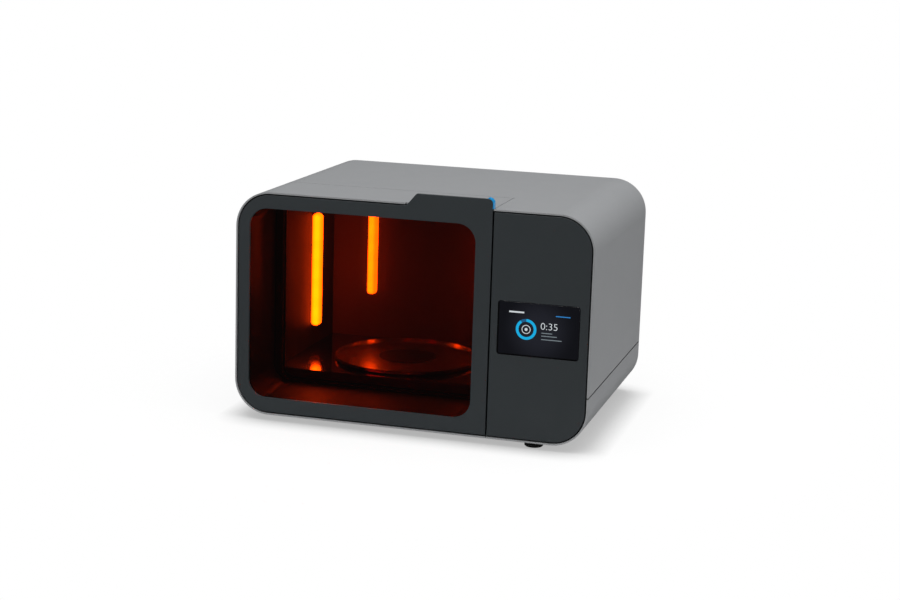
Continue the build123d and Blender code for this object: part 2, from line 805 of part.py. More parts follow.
# Power supply: perforated metal box on the chassis plate
supply_x = right - supply_side - supply_width
supply_y = back - supply_back - supply_depth
with BuildPart() as power_supply:
    block(
        (supply_x, supply_x + supply_width),
        (supply_y, supply_y + supply_depth),
        (chassis_top, chassis_top + supply_height),
    )
    chamfer(power_supply.edges().filter_by(Axis.Y).sort_by(Axis.Z)[-2:], supply_bevel)
    with BuildSketch(Plane.XY.offset(chassis_top + supply_height)):
        with Locations((supply_x + supply_width / 2, supply_y + supply_depth / 2)):
            with GridLocations(*supply_slot_pitch, *supply_slots):
                SlotOverall(supply_slot, supply_slot_width, rotation=90)
    extrude(amount=-supply_slot_depth, mode=Mode.SUBTRACT)
keep(power_supply, "power_supply")

# Main board on standoffs beside the divider, with a finned heat sink and two connectors
board_x = divider_x + divider_sheet + standoff_height
board_face = board_x + board_thickness
board_y = back - board_back - board_length
board_z = bottom + board_bottom
board_centre = (board_y + board_length / 2, board_z + board_height / 2)
hole_pitch = (board_length - 2 * standoff_inset, board_height - 2 * standoff_inset)
with BuildPart() as board_standoffs:
    with BuildSketch(Plane.YZ.offset(divider_x + divider_sheet)):
        with Locations(board_centre):
            with GridLocations(hole_pitch[0], hole_pitch[1], 2, 2):
                RegularPolygon(standoff_radius, 6)
    extrude(amount=standoff_height)
keep(board_standoffs, "board_standoffs")

with BuildPart() as main_board:
    with BuildSketch(Plane.YZ.offset(board_x)):
        with Locations(board_centre):
            RectangleRounded(board_length, board_height, board_corner)
    extrude(amount=board_thickness)
    with BuildSketch(Plane.YZ.offset(board_face)):
        with Locations(*[(board_y + along, board_z + connector_z) for along in connector_places]):
            Rectangle(*connector)
        with Locations((board_y + relay_place[0], board_z + relay_place[1])):
            Rectangle(relay_size, relay_size)
    extrude(amount=connector_height)
keep(main_board, "main_board")

sink_centre = (board_y + sink_place[0], board_z + sink_place[1])
with BuildPart() as heat_sink:
    with BuildSketch(Plane.YZ.offset(board_face)):
        with Locations(sink_centre):
            Rectangle(sink_size, sink_size)
    extrude(amount=sink_base)
    with BuildSketch(Plane.YZ.offset(board_face + sink_base)):
        with Locations(sink_centre):
            with GridLocations(sink_size / sink_fins, 0, sink_fins, 1):
                Rectangle(sink_fin, sink_size)
    extrude(amount=sink_fin_height)
keep(heat_sink, "heat_sink")

with BuildPart() as board_screws:
    with BuildSketch(Plane.YZ.offset(board_face)):
        with Locations(board_centre):
            with GridLocations(hole_pitch[0], hole_pitch[1], 2, 2):
                Circle(board_screw_radius)
    extrude(amount=screw_head_height)
keep(board_screws, "board_screws")

# Back panel: round fan grille, rows of vent slots, and openings for inlet and switch
fan_centre = (right - fan_side, top - fan_drop)
inlet_centre = (right - inlet_side, bottom + inlet_z)
switch_centre = (right - switch_side, bottom + switch_z)
screw_left = left + corner_radius + screw_from_corner
screw_right = right - corner_radius - screw_from_corner
screw_places = [
    (screw_left, top - screw_inset),
    (middle, top - screw_inset),
    (screw_right, top - screw_inset),
    (left + screw_inset, bottom + height / 2),
    (right - screw_inset, bottom + height / 2),
    (screw_left, bottom + screw_inset),
    (middle, bottom + screw_inset),
    (screw_right, bottom + screw_inset),
]
with BuildPart() as back_panel:
    with BuildSketch(upright(panel_inner)):
        case_outline(sheet + clearance)
        grille_rows = int(2 * (fan_bore - grille_slot) / grille_pitch) + 1
        for row in range(grille_rows):
            z = (row - (grille_rows - 1) / 2) * grille_pitch
            chord = 2 * sqrt(fan_bore**2 - (abs(z) + grille_slot / 2) ** 2)
            with Locations((fan_centre[0], fan_centre[1] + z)):
                SlotOverall(max(chord, 2 * grille_slot), grille_slot, mode=Mode.SUBTRACT)
        with Locations((left + vent_x, bottom + vent_z)):
            with GridLocations(vent_pitch, 0, vent_columns, 1):
                SlotOverall(vent_length, vent_width, rotation=90, mode=Mode.SUBTRACT)
        with Locations(inlet_centre):
            Rectangle(inlet_width + 2 * clearance, inlet_height + 2 * clearance, mode=Mode.SUBTRACT)
        with Locations(switch_centre):
            Rectangle(switch_width + 2 * clearance, switch_height + 2 * clearance, mode=Mode.SUBTRACT)
        with Locations(*screw_places):
            Circle(screw_shank + screw_hole_gap, mode=Mode.SUBTRACT)
    extrude(amount=back_sheet, dir=backwards)
keep(back_panel, "back_panel")

with BuildPart() as back_screws:
    with BuildSketch(upright(panel_y)):
        with Locations(*screw_places):
            Circle(screw_head)
    extrude(amount=screw_head_height, dir=backwards)
    with BuildSketch(upright(panel_y)):
        with Locations(*screw_places):
            Circle(screw_shank)
    extrude(amount=screw_length)
keep(back_screws, "back_screws")

# Cooling fan: square frame with three struts and a boss, and a rotor with twisted blades
fan_front = panel_inner - fan_depth
with BuildPart() as fan_frame:
    with BuildSketch(upright(fan_front)):
        with Locations(fan_centre):
            RectangleRounded(fan_size, fan_size, fan_corner)
            Circle(fan_bore, mode=Mode.SUBTRACT)
            with GridLocations(fan_screw_spacing, fan_screw_spacing, 2, 2):
                Circle(fan_screw_radius, mode=Mode.SUBTRACT)
    extrude(amount=fan_depth, dir=backwards)
    with BuildSketch(upright(fan_front)):
        with Locations(fan_centre):
            Circle(fan_hub)
            with PolarLocations(0, 3):
                with Locations((fan_bore / 2, 0)):
                    Rectangle(fan_bore + fan_strut_overlap, fan_web)
    extrude(amount=fan_web, dir=backwards)
    with Locations(Location((fan_centre[0], fan_front, fan_centre[1]), (90, 0, 0))):
        Hole(radius=fan_shaft + pin_clearance, depth=2 * fan_web)
keep(fan_frame, "fan_frame")

rotor_front = fan_front + fan_web + clearance
rotor_depth = fan_depth - fan_web - fan_end_gap
blade_middle = rotor_front + rotor_depth / 2
with BuildPart() as fan_rotor:
    with BuildSketch(upright(rotor_front)):
        with Locations(fan_centre):
            Circle(fan_hub)
    extrude(amount=rotor_depth, dir=backwards)
    fillet(fan_rotor.faces().sort_by(Axis.Y)[-1].edges(), fan_hub_round)
    with BuildSketch(upright(rotor_front)):
        with Locations(fan_centre):
            Circle(fan_shaft)
    extrude(amount=fan_web + clearance)
    for number in range(fan_blades):
        angle = radians(360 / fan_blades * number)
        outward = Vector(cos(angle), 0, sin(angle))
        around = Vector(-sin(angle), 0, cos(angle))
        for radius, pitch, chord in (blade_root, blade_tip):
            chord_dir = around * cos(radians(pitch)) + Vector(0, 1, 0) * sin(radians(pitch))
            place = Vector(fan_centre[0], blade_middle, fan_centre[1]) + outward * radius
            with BuildSketch(Plane(origin=place, x_dir=chord_dir, z_dir=outward)):
                Rectangle(chord, blade_sheet)
        loft()
keep(fan_rotor, "fan_rotor")

# Power inlet: flanged socket with three blades
with BuildPart() as power_inlet:
    with BuildSketch(upright(panel_y)):
        with Locations(inlet_centre):
            SlotOverall(inlet_flange, inlet_flange_height)
    extrude(amount=fitting_flange, dir=backwards)
    with BuildSketch(upright(panel_y)):
        with Locations(inlet_centre):
            Rectangle(inlet_width, inlet_height)
    extrude(amount=inlet_body)
    with BuildSketch(upright(panel_y + fitting_flange)):
        with Locations(inlet_centre):
            Rectangle(inlet_width - 2 * inlet_wall, inlet_height - 2 * inlet_wall)
    extrude(amount=inlet_body, mode=Mode.SUBTRACT)
keep(power_inlet, "power_inlet")

socket_floor = panel_y + fitting_flange - inlet_body
with BuildPart() as inlet_blades:
    with BuildSketch(upright(socket_floor)):
        with Locations(inlet_centre):
            with Locations((0, blade_rise[1])):
                Rectangle(blade_width, blade_height)
            with Locations((0, blade_rise[0])):
                with GridLocations(2 * blade_spacing, 0, 2, 1):
                    Rectangle(blade_width, blade_height)
    extrude(amount=inlet_body - blade_short, dir=backwards)
    chamfer(inlet_blades.faces().sort_by(Axis.Y)[-3:].edges(), blade_bevel)
keep(inlet_blades, "inlet_blades")

# Power switch: framed pocket and a rocker that tips on its own axle
pocket_width = switch_width - 2 * switch_rim
pocket_height = switch_height - 2 * switch_rim
rocker_y = panel_y - rocker_depth
with BuildPart() as switch_frame:
    with BuildSketch(upright(panel_y)):
        with Locations(switch_centre):
            RectangleRounded(
                switch_width + 2 * switch_flange_reach,
                switch_height + 2 * switch_flange_reach,
                switch_corner,
            )
    extrude(amount=switch_flange, dir=backwards)
    with BuildSketch(upright(panel_y)):
        with Locations(switch_centre):
            Rectangle(switch_width, switch_height)
    extrude(amount=switch_body)
    with BuildSketch(upright(panel_y + fitting_flange)):
        with Locations(switch_centre):
            Rectangle(pocket_width, pocket_height)
    extrude(amount=fitting_flange + switch_pocket, mode=Mode.SUBTRACT)
    with BuildSketch(Plane.YZ.offset(switch_centre[0] - pocket_width / 2 - axle_end)):
        with Locations((rocker_y, switch_centre[1])):
            Circle(pin_radius + pin_clearance)
    extrude(amount=pocket_width + 2 * axle_end, mode=Mode.SUBTRACT)
keep(switch_frame, "switch_frame")

rocker_half = pocket_height / 2 - rocker_end_gap
rocker_width = pocket_width - 2 * clearance
with BuildPart() as power_rocker:
    with BuildSketch(Plane.YZ.offset(switch_centre[0] - rocker_width / 2)):
        with Locations((rocker_y, switch_centre[1])):
            with Locations(Location((0, 0, 0), (0, 0, -rocker_swing))):
                Polygon(
                    (-rocker_back, -rocker_half),
                    (rocker_face, -rocker_half),
                    (rocker_bulge, 0),
                    (rocker_face, rocker_half),
                    (-rocker_back, rocker_half),
                    (-rocker_keel, 0),
                    align=None,
                )
    extrude(amount=rocker_width)
    with BuildSketch(Plane.YZ.offset(switch_centre[0] - rocker_width / 2 - axle_end)):
        with Locations((rocker_y, switch_centre[1])):
            Circle(pin_radius)
    extrude(amount=rocker_width + 2 * axle_end)
keep(power_rocker, "power_rocker")

# Door skin: top, left side and underside in one bent sheet, notched behind the pull tab
with BuildPart() as door_skin:
    with BuildSketch(upright(front)):
        case_outline(0)
        case_outline(sheet, Mode.SUBTRACT)
    extrude(amount=door_depth, dir=backwards)
    cut_right_of(cut_x - seam_line / 2)
    tab_notch = (tab_x - sheet, right)
    block(tab_notch, (front - 1, front + plate + clearance), (top - 2 * sheet, top + 1), Mode.SUBTRACT)
    hinge_notches((hinge_y - notch_y, door_back + 1), left + sheet + 1)
keep(door_skin, "door_skin")

# Door bezel: front plate with the window opening and the pull tab that stands above the case
plate_top = top - sheet - reveal
with BuildPart() as door_bezel:
    with BuildSketch(upright(front)):
        case_outline(sheet + reveal)
        with BuildLine():
            Polyline(
                (door_right, plate_top - tab_root),
                (tab_x - tab_root, plate_top - tab_root),
                (tab_x - tab_root, plate_top),
                (tab_x, plate_top + tab_foot_rise),
                (tab_x + tab_slope, top + tab_height),
                (door_right, top + tab_height),
                close=True,
            )
        make_face()
        window_outline(0, Mode.SUBTRACT)
    extrude(amount=plate, dir=backwards)
    cut_right_of(door_right)
    tab_edges = door_bezel.edges().filter_by(Axis.Y).filter_by_position(
        Axis.Z, top + tab_height - 0.1, top + tab_height + 0.1
    )
    fillet(tab_edges.sort_by(Axis.X)[-1], tab_corner)
    fillet(tab_edges.sort_by(Axis.X)[0], tab_slope_round)
    fillet(door_bezel.faces().sort_by(Axis.Y)[0].outer_wire().edges(), edge_round)
keep(door_bezel, "door_bezel")

# Accent: coloured strip round the free corner of the pull tab
with BuildPart() as tab_accent:
    with BuildSketch(upright(front)):
        with Locations((door_right - tab_corner, top + tab_height - tab_corner)):
            Circle(tab_corner + accent_thickness)
            Circle(tab_corner, mode=Mode.SUBTRACT)
            Rectangle(
                4 * tab_corner, 4 * tab_corner, align=(Align.MAX, Align.CENTER), mode=Mode.SUBTRACT
            )
            Rectangle(
                4 * tab_corner, 4 * tab_corner, align=(Align.CENTER, Align.MAX), mode=Mode.SUBTRACT
            )
        with Locations((door_right, top + tab_height - tab_corner)):
            Rectangle(
                accent_thickness, tab_height - tab_corner - clearance, align=(Align.MIN, Align.MAX)
            )
    extrude(amount=accent_depth, dir=backwards)
keep(tab_accent, "tab_accent")

# Door liner: front flange that holds the pane, deep duct, and back flange that meets the gasket
liner_front = front + plate
pane_back = liner_front + pane_thickness
shoulder_back = pane_back + shoulder
wall_left = door_right - side_plate
with BuildPart() as door_liner:
    with BuildSketch(upright(liner_front)):
        case_outline(sheet + clearance)
        window_outline(0, Mode.SUBTRACT)
    extrude(amount=pane_thickness + shoulder, dir=backwards)
    with BuildSketch(upright(liner_front)):
        window_outline(pane_overlap + clearance)
    extrude(amount=pane_thickness, dir=backwards, mode=Mode.SUBTRACT)
    with BuildSketch(upright(shoulder_back)):
        window_outline(duct_wall)
        window_outline(0, Mode.SUBTRACT)
    extrude(amount=flange_y - shoulder_back, dir=backwards)
    with BuildSketch(upright(flange_y - flange_thickness)):
        case_outline(sheet + clearance)
        window_outline(0, Mode.SUBTRACT)
    extrude(amount=flange_thickness, dir=backwards)
    cut_right_of(wall_left)
    hinge_notches((flange_y - leaf_length, flange_y + 1), left + sheet + leaf_thickness + clearance)
keep(door_liner, "door_liner")

with BuildPart() as door_side_wall:
    block(
        (wall_left, door_right),
        (liner_front, flange_y),
        (bottom + sheet + clearance, top - sheet - clearance),
    )
keep(door_side_wall, "door_side_wall")

with BuildPart() as window_pane:
    with BuildSketch(upright(liner_front)):
        window_outline(pane_overlap)
    extrude(amount=pane_thickness, dir=backwards)
keep(window_pane, "window_pane")

# Magnets on the door's back flange and steel strikes on the mouth frame
magnet_zs = (bottom + magnet_height_from_end, window_z, top - magnet_height_from_end)
magnet_places = [(door_right - magnet_inset_x, z) for z in magnet_zs]
magnet_back = flange_y + magnet_height
with BuildPart() as door_magnets:
    with BuildSketch(upright(flange_y)):
        with Locations(*magnet_places):
            Circle(magnet_radius)
    extrude(amount=magnet_height, dir=backwards)
keep(door_magnets, "door_magnets")

with BuildPart() as strike_plates:
    with BuildSketch(upright(magnet_back + magnet_gap)):
        with Locations(*magnet_places):
            Circle(magnet_radius)
    extrude(amount=frame_y - magnet_back - magnet_gap, dir=backwards)
keep(strike_plates, "strike_plates")

# Hinges: barrels on the left edge of the seam, a leaf inside each skin, a headed pin in each
part_length = (hinge_length - 2 * knuckle_gap) / 3


def hinge_leaf(name, z_middle, barrels, direction):
    # One leaf with its barrels; direction is -1 for the door side and 1 for the case side
    leaf_y = sorted((hinge_y + direction * leaf_start, hinge_y + direction * (leaf_start + leaf_length)))
    low = z_middle - hinge_length / 2
    inner_face = left + sheet + leaf_thickness
    near_edge = hinge_y + direction * web_gap
    web_end = hinge_y + direction * (leaf_start + web_overlap)
    with BuildPart() as leaf:
        block((left + sheet, inner_face), leaf_y, (low, low + hinge_length))
        for number in barrels:
            z = low + number * (part_length + knuckle_gap)
            with BuildSketch(Plane.XY.offset(z)):
                with Locations((left, hinge_y)):
                    Circle(knuckle_radius)
                with BuildLine():
                    Polyline(
                        (left + pin_radius, near_edge),
                        (inner_face, near_edge),
                        (inner_face, web_end),
                        (left + sheet, web_end),
                        (left + sheet, hinge_y + direction * pin_radius),
                        close=True,
                    )
                make_face()
            extrude(amount=part_length)
            with Locations((left, hinge_y, z + part_length)):
                Hole(radius=pin_radius + pin_clearance, depth=part_length)
    keep(leaf, name)


for level, z_middle in zip(("lower", "upper"), hinge_zs):
    hinge_leaf(f"{level}_door_leaf", z_middle, (1,), -1)
    hinge_leaf(f"{level}_case_leaf", z_middle, (0, 2), 1)

with BuildPart() as hinge_pins:
    for z_middle in hinge_zs:
        with BuildSketch(Plane.XY.offset(z_middle - hinge_length / 2)):
            with Locations((left, hinge_y)):
                Circle(pin_radius)
        extrude(amount=hinge_length)
        with BuildSketch(Plane.XY.offset(z_middle - hinge_length / 2 - pin_head)):
            with Locations((left, hinge_y)):
                Circle(pin_head_radius)
        extrude(amount=pin_head)
        with BuildSketch(Plane.XY.offset(z_middle + hinge_length / 2)):
            with Locations((left, hinge_y)):
                Circle(pin_head_radius)
        extrude(amount=pin_head)
keep(hinge_pins, "hinge_pins")

rivet_x = left + sheet + leaf_thickness
for name, direction in (("door", -1), ("case", 1)):
    with BuildPart() as rivets:
        for z_middle in hinge_zs:
            with BuildSketch(Plane.YZ.offset(rivet_x)):
                with Locations((hinge_y + direction * (leaf_start + leaf_length / 2), z_middle)):
                    with GridLocations(0, rivet_pitch, 1, rivets_per_leaf):
                        Circle(rivet_radius)
            extrude(amount=rivet_height)
    keep(rivets, f"{name}_hinge_rivets")
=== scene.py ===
# Looks, light and camera for a bench-top ultraviolet curing chamber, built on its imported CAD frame.

import json
import math

import bmesh
import bpy
from mathutils import Matrix, Vector


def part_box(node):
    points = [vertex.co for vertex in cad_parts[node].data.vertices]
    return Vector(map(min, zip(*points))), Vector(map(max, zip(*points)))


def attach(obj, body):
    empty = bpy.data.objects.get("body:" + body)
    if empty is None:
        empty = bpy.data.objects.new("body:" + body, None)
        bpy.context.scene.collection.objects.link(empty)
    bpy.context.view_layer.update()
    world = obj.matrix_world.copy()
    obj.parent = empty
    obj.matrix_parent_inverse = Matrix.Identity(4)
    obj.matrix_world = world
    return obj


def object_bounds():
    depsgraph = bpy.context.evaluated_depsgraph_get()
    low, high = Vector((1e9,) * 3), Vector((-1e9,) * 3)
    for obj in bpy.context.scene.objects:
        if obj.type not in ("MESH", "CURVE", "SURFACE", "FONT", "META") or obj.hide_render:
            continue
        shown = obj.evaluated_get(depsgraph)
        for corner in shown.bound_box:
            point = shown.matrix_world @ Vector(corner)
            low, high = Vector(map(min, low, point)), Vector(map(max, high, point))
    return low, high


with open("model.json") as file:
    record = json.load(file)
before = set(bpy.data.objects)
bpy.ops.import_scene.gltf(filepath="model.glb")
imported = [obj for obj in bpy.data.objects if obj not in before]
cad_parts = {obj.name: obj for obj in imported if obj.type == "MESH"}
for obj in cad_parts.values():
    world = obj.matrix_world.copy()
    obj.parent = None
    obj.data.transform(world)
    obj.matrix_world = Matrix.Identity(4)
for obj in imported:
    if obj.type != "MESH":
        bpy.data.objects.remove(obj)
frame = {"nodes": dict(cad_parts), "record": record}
nodes = frame["nodes"]
cadLow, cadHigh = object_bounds()

mm = 0.001


# Small helpers

def linear(hexColour):  # a colour written as sRGB hex, as linear light
    parts = [int(hexColour[i : i + 2], 16) / 255 for i in (0, 2, 4)]
    light = [c / 12.92 if c <= 0.04045 else ((c + 0.055) / 1.055) ** 2.4 for c in parts]
    return (*light, 1.0)


def grey(value):
    return (value, value, value, 1.0)


def addNode(material, kind, inputs=None, **settings):
    # Adds a shader node, sets its own values, and links or fills its sockets
    tree = material.node_tree
    node = tree.nodes.new(kind)
    for name, value in settings.items():
        setattr(node, name, value)
    for socket, value in (inputs or {}).items():
        if isinstance(value, bpy.types.NodeSocket):
            tree.links.new(value, node.inputs[socket])
        else:
            node.inputs[socket].default_value = value
    return node


def newMaterial(name, **inputs):  # an empty node material with one Principled shader, and that shader
    material = bpy.data.materials.new(name)
    material.use_nodes = True
    material.node_tree.nodes.clear()
    shader = addNode(material, "ShaderNodeBsdfPrincipled")
    output = addNode(material, "ShaderNodeOutputMaterial")
    material.node_tree.links.new(shader.outputs["BSDF"], output.inputs["Surface"])
    for socket, value in inputs.items():
        shader.inputs[socket].default_value = value
    return material, shader


def place(material, scale=(1, 1, 1)):  # object coordinates in metres, stretched by scale
    where = addNode(material, "ShaderNodeTexCoord")
    spread = addNode(material, "ShaderNodeMapping", {"Vector": where.outputs["Object"], "Scale": scale})
    return spread.outputs["Vector"]


def grain(material, size, scale=(1, 1, 1)):  # noise whose blotches are about size metres wide
    pattern = {"Vector": place(material, scale), "Scale": 1 / size, "Detail": 3.0}
    return addNode(material, "ShaderNodeTexNoise", pattern).outputs["Fac"]


def between(material, factor, low, high, start=0.3, end=0.7, smooth=False):
    # Turns a factor that runs from start to end into a value from low to high
    spread = addNode(
        material,
        "ShaderNodeMapRange",
        {"Value": factor, "From Min": start, "From Max": end, "To Min": low, "To Max": high},
        interpolation_type="SMOOTHSTEP" if smooth else "LINEAR",
    )
    return spread.outputs["Result"]


def reckon(material, operation, *values):  # one step of the Math node on sockets and numbers
    inputs = dict(enumerate(values))
    return addNode(material, "ShaderNodeMath", inputs, operation=operation).outputs["Value"]


def mixedColour(material, factor, first, second):
    # A colour between two, by a factor, on the node's colour sockets
    inputs = {"Factor": factor, 6: first, 7: second}
    return addNode(material, "ShaderNodeMix", inputs, data_type="RGBA").outputs[2]


def roughen(material, shader, height, distance, edge=0.0):
    # Bumps the surface by a height pattern and, if asked, softens sharp edges to a radius
    bump = addNode(material, "ShaderNodeBump", {"Height": height, "Distance": distance})
    if edge:
        soft = addNode(material, "ShaderNodeBevel", {"Radius": edge}, samples=4)
        material.node_tree.links.new(soft.outputs["Normal"], bump.inputs["Normal"])
    material.node_tree.links.new(bump.outputs["Normal"], shader.inputs["Normal"])


def drive(material, shader, socket, value):
    material.node_tree.links.new(value, shader.inputs[socket])


# Materials, each named for what it is

def satinCasePaint(name, shadeBandMiddle=-1.0, shadeBandReach=0.0):
    # Fine-textured satin grey paint over sheet aluminium, painted black in a band of heights at the seam as
    # painted shade in the gap between the shells
    material, shader = newMaterial(name)
    paint = mixedColour(material, grain(material, 30 * mm), linear("8e9092"), linear("939496"))
    spot = addNode(material, "ShaderNodeSeparateXYZ", {"Vector": place(material)})
    # a band of heights at the seam is painted black: painted shade that darkens the gap between the shells
    paintedSeamShade = reckon(material, "COMPARE", spot.outputs["Z"], shadeBandMiddle, shadeBandReach)
    tone = mixedColour(material, paintedSeamShade, paint, linear("060606"))
    drive(material, shader, "Base Color", tone)
    drive(material, shader, "Roughness", between(material, grain(material, 1.2 * mm), 0.42, 0.5))
    roughen(material, shader, grain(material, 0.5 * mm), 0.02 * mm, edge=0.5 * mm)
    return material


def frontPlatePolymer():  # dark grey moulded polymer with a fine spark-eroded texture
    material, shader = newMaterial("darkGreyMouldedPolymer")
    tone = mixedColour(material, grain(material, 40 * mm), linear("31373a"), linear("34393c"))
    drive(material, shader, "Base Color", tone)
    drive(material, shader, "Roughness", between(material, grain(material, 0.8 * mm), 0.4, 0.48))
    roughen(material, shader, grain(material, 0.4 * mm), 0.012 * mm, edge=0.35 * mm)
    return material


def blackPolymer(name, shade, specular):  # matt black moulded polymer of liners, frames and fittings
    material, shader = newMaterial(name, **{"Base Color": linear(shade), "Specular IOR Level": specular})
    drive(material, shader, "Roughness", between(material, grain(material, 1.0 * mm), 0.45, 0.55))
    roughen(material, shader, grain(material, 0.4 * mm), 0.01 * mm, edge=0.3 * mm)
    return material


def powderCoat():  # textured black powder coat on the sheet steel of the back panel
    material, shader = newMaterial("texturedBlackPowderCoat")
    tone = mixedColour(material, grain(material, 25 * mm), linear("262829"), linear("2a2c2d"))
    drive(material, shader, "Base Color", tone)
    drive(material, shader, "Roughness", between(material, grain(material, 1.0 * mm), 0.5, 0.62))
    roughen(material, shader, grain(material, 0.7 * mm), 0.05 * mm, edge=0.2 * mm)
    return material


def blackRubber():  # soft black rubber of feet and door seal
    material, shader = newMaterial("softBlackRubber", **{"Base Color": linear("0d0d0d")})
    drive(material, shader, "Roughness", between(material, grain(material, 0.6 * mm), 0.75, 0.9))
    roughen(material, shader, grain(material, 0.3 * mm), 0.02 * mm)
    return material


def amberAcrylic():  # clear amber-red acrylic, tinted through its mass to stop ultraviolet light
    material, shader = newMaterial(
        "amberUltravioletBlockingAcrylic", **{"IOR": 1.49, "Transmission Weight": 1.0}
    )
    thin, dense = (0.81, 0.041, 0.0001, 1), (0.8, 0.04, 0.0001, 1)  # linear light let through
    tone = mixedColour(material, grain(material, 120 * mm), dense, thin)
    drive(material, shader, "Base Color", tone)
    drive(material, shader, "Roughness", between(material, grain(material, 60 * mm), 0.0, 0.008))
    return material


def coverGlass():  # clear cover glass over the display
    material, shader = newMaterial(
        "clearCoverGlass", **{"Base Color": grey(0.92), "IOR": 1.5, "Transmission Weight": 1.0}
    )
    drive(material, shader, "Roughness", between(material, grain(material, 25 * mm), 0.0, 0.03))
    return material


def blueGlossPolymer():  # glossy blue moulded polymer of the pull tab's corner
    material, shader = newMaterial("glossyBluePolymer")
    tone = mixedColour(material, grain(material, 15 * mm), linear("1688c4"), linear("1a8dca"))
    drive(material, shader, "Base Color", tone)
    drive(material, shader, "Roughness", between(material, grain(material, 1.5 * mm), 0.24, 0.3))
    return material


def darkLiner():  # dark satin sheet of the chamber's walls over a polished metal floor; the side walls are painted darker than the rear wall as painted shade
    material, shader = newMaterial("darkSatinLinerSheet", **{"Specular IOR Level": 0.12})
    facing = addNode(material, "ShaderNodeNewGeometry")
    height = addNode(material, "ShaderNodeSeparateXYZ", {"Vector": facing.outputs["True Normal"]})
    floor = reckon(material, "GREATER_THAN", height.outputs["Z"], 0.5)
    # walls facing sideways get a darker colour than the rear wall: painted shade on one sheet
    sideShadeMask = reckon(material, "ABSOLUTE", height.outputs["X"])
    rear = mixedColour(material, grain(material, 60 * mm), linear("3b302d"), linear("3f3330"))
    wallsWithSideShade = mixedColour(material, sideShadeMask, rear, linear("15100f"))
    tone = mixedColour(material, floor, wallsWithSideShade, linear("a39c94"))
    drive(material, shader, "Base Color", tone)
    drive(material, shader, "Metallic", floor)
    satin = between(material, grain(material, 40 * mm, scale=(1, 1, 0.1)), 0.62, 0.7)
    polish = reckon(material, "MULTIPLY", floor, -0.56)  # the floor is that much smoother
    drive(material, shader, "Roughness", reckon(material, "ADD", satin, polish))
    return material


def polishedSteel():  # polished stainless steel of the turntable
    material, shader = newMaterial(
        "polishedStainlessSteel", **{"Base Color": linear("cac6c0"), "Metallic": 1.0}
    )
    drive(material, shader, "Roughness", between(material, grain(material, 60 * mm), 0.22, 0.24))
    return material


def brushedSteel():  # brushed stainless steel
    material, shader = newMaterial(
        "brushedStainlessSteel", **{"Base Color": linear("a8a6a2"), "Metallic": 1.0}
    )
    lines = grain(material, 0.6 * mm, scale=(1, 1, 0.03))
    drive(material, shader, "Roughness", between(material, lines, 0.26, 0.4))
    roughen(material, shader, lines, 0.01 * mm)
    return material


def zincSteel():  # zinc-plated sheet steel with its faint spangle
    material, shader = newMaterial("zincPlatedSteel", **{"Metallic": 1.0})
    spangle = addNode(
        material, "ShaderNodeTexVoronoi", {"Vector": place(material), "Scale": 1 / (6 * mm)}
    )
    tone = mixedColour(material, spangle.outputs["Distance"], linear("b4b5b6"), linear("9ea0a3"))
    drive(material, shader, "Base Color", tone)
    drive(material, shader, "Roughness", between(material, grain(material, 4 * mm), 0.32, 0.45))
    return material


def nickelPlate():  # bright nickel plating of magnets, blades and screws
    material, shader = newMaterial(
        "brightNickelPlating", **{"Base Color": linear("c3bfb6"), "Metallic": 1.0}
    )
    drive(material, shader, "Roughness", between(material, grain(material, 2 * mm), 0.14, 0.24))
    return material


def plainAluminium():  # extruded aluminium with faint draw lines
    material, shader = newMaterial(
        "extrudedAluminium", **{"Base Color": linear("c9cbcd"), "Metallic": 1.0}
    )
    drawn = grain(material, 0.8 * mm, scale=(1, 1, 0.02))
    drive(material, shader, "Roughness", between(material, drawn, 0.28, 0.38))
    roughen(material, shader, drawn, 0.01 * mm)
    return material


def litDiffuser(name, brightness, middleX, low, high, radius):
    # Frosted light cover, lit by a row of diodes behind it and darker towards its rounded outline
    material, shader = newMaterial(
        name, **{"Base Color": linear("e8e2d4"), "Emission Color": (1, 0.92, 0.6, 1)}
    )
    spot = addNode(material, "ShaderNodeSeparateXYZ", {"Vector": place(material)})
    across = reckon(material, "SUBTRACT", spot.outputs["X"], middleX)
    straight = {"Value": spot.outputs["Z"], "Min": low + radius, "Max": high - radius}
    nearest = addNode(material, "ShaderNodeClamp", straight).outputs["Result"]
    beyond = reckon(material, "SUBTRACT", spot.outputs["Z"], nearest)
    offset = addNode(material, "ShaderNodeCombineXYZ", {"X": across, "Z": beyond}).outputs["Vector"]
    away = addNode(material, "ShaderNodeVectorMath", {0: offset}, operation="LENGTH").outputs["Value"]
    core = between(material, away, 1.0, 0.5, 0.35 * radius, 0.95 * radius)
    lit = between(material, away, 1.0, 0.02, radius, 1.06 * radius)
    diodes = addNode(
        material,
        "ShaderNodeTexWave",
        {"Vector": place(material), "Scale": 1 / (2 * math.pi * 14 * mm)},
        bands_direction="Z",
    )
    glow = between(material, diodes.outputs["Fac"], 0.97 * brightness, 1.03 * brightness)
    strength = reckon(material, "MULTIPLY", glow, reckon(material, "MULTIPLY", core, lit))
    drive(material, shader, "Emission Strength", strength)
    drive(material, shader, "Roughness", between(material, grain(material, 1 * mm), 0.5, 0.6))
    return material


def diodeBoard():  # white circuit strip with small yellow emitters every 8 mm
    material, shader = newMaterial("whiteDiodeStrip", **{"Roughness": 0.5})
    cells = addNode(material, "ShaderNodeTexVoronoi", {"Vector": place(material), "Scale": 1 / (8 * mm)})
    chip = reckon(material, "LESS_THAN", cells.outputs["Distance"], 0.22)
    tone = mixedColour(material, chip, linear("e9e8e2"), linear("c9a64a"))
    drive(material, shader, "Base Color", tone)
    return material


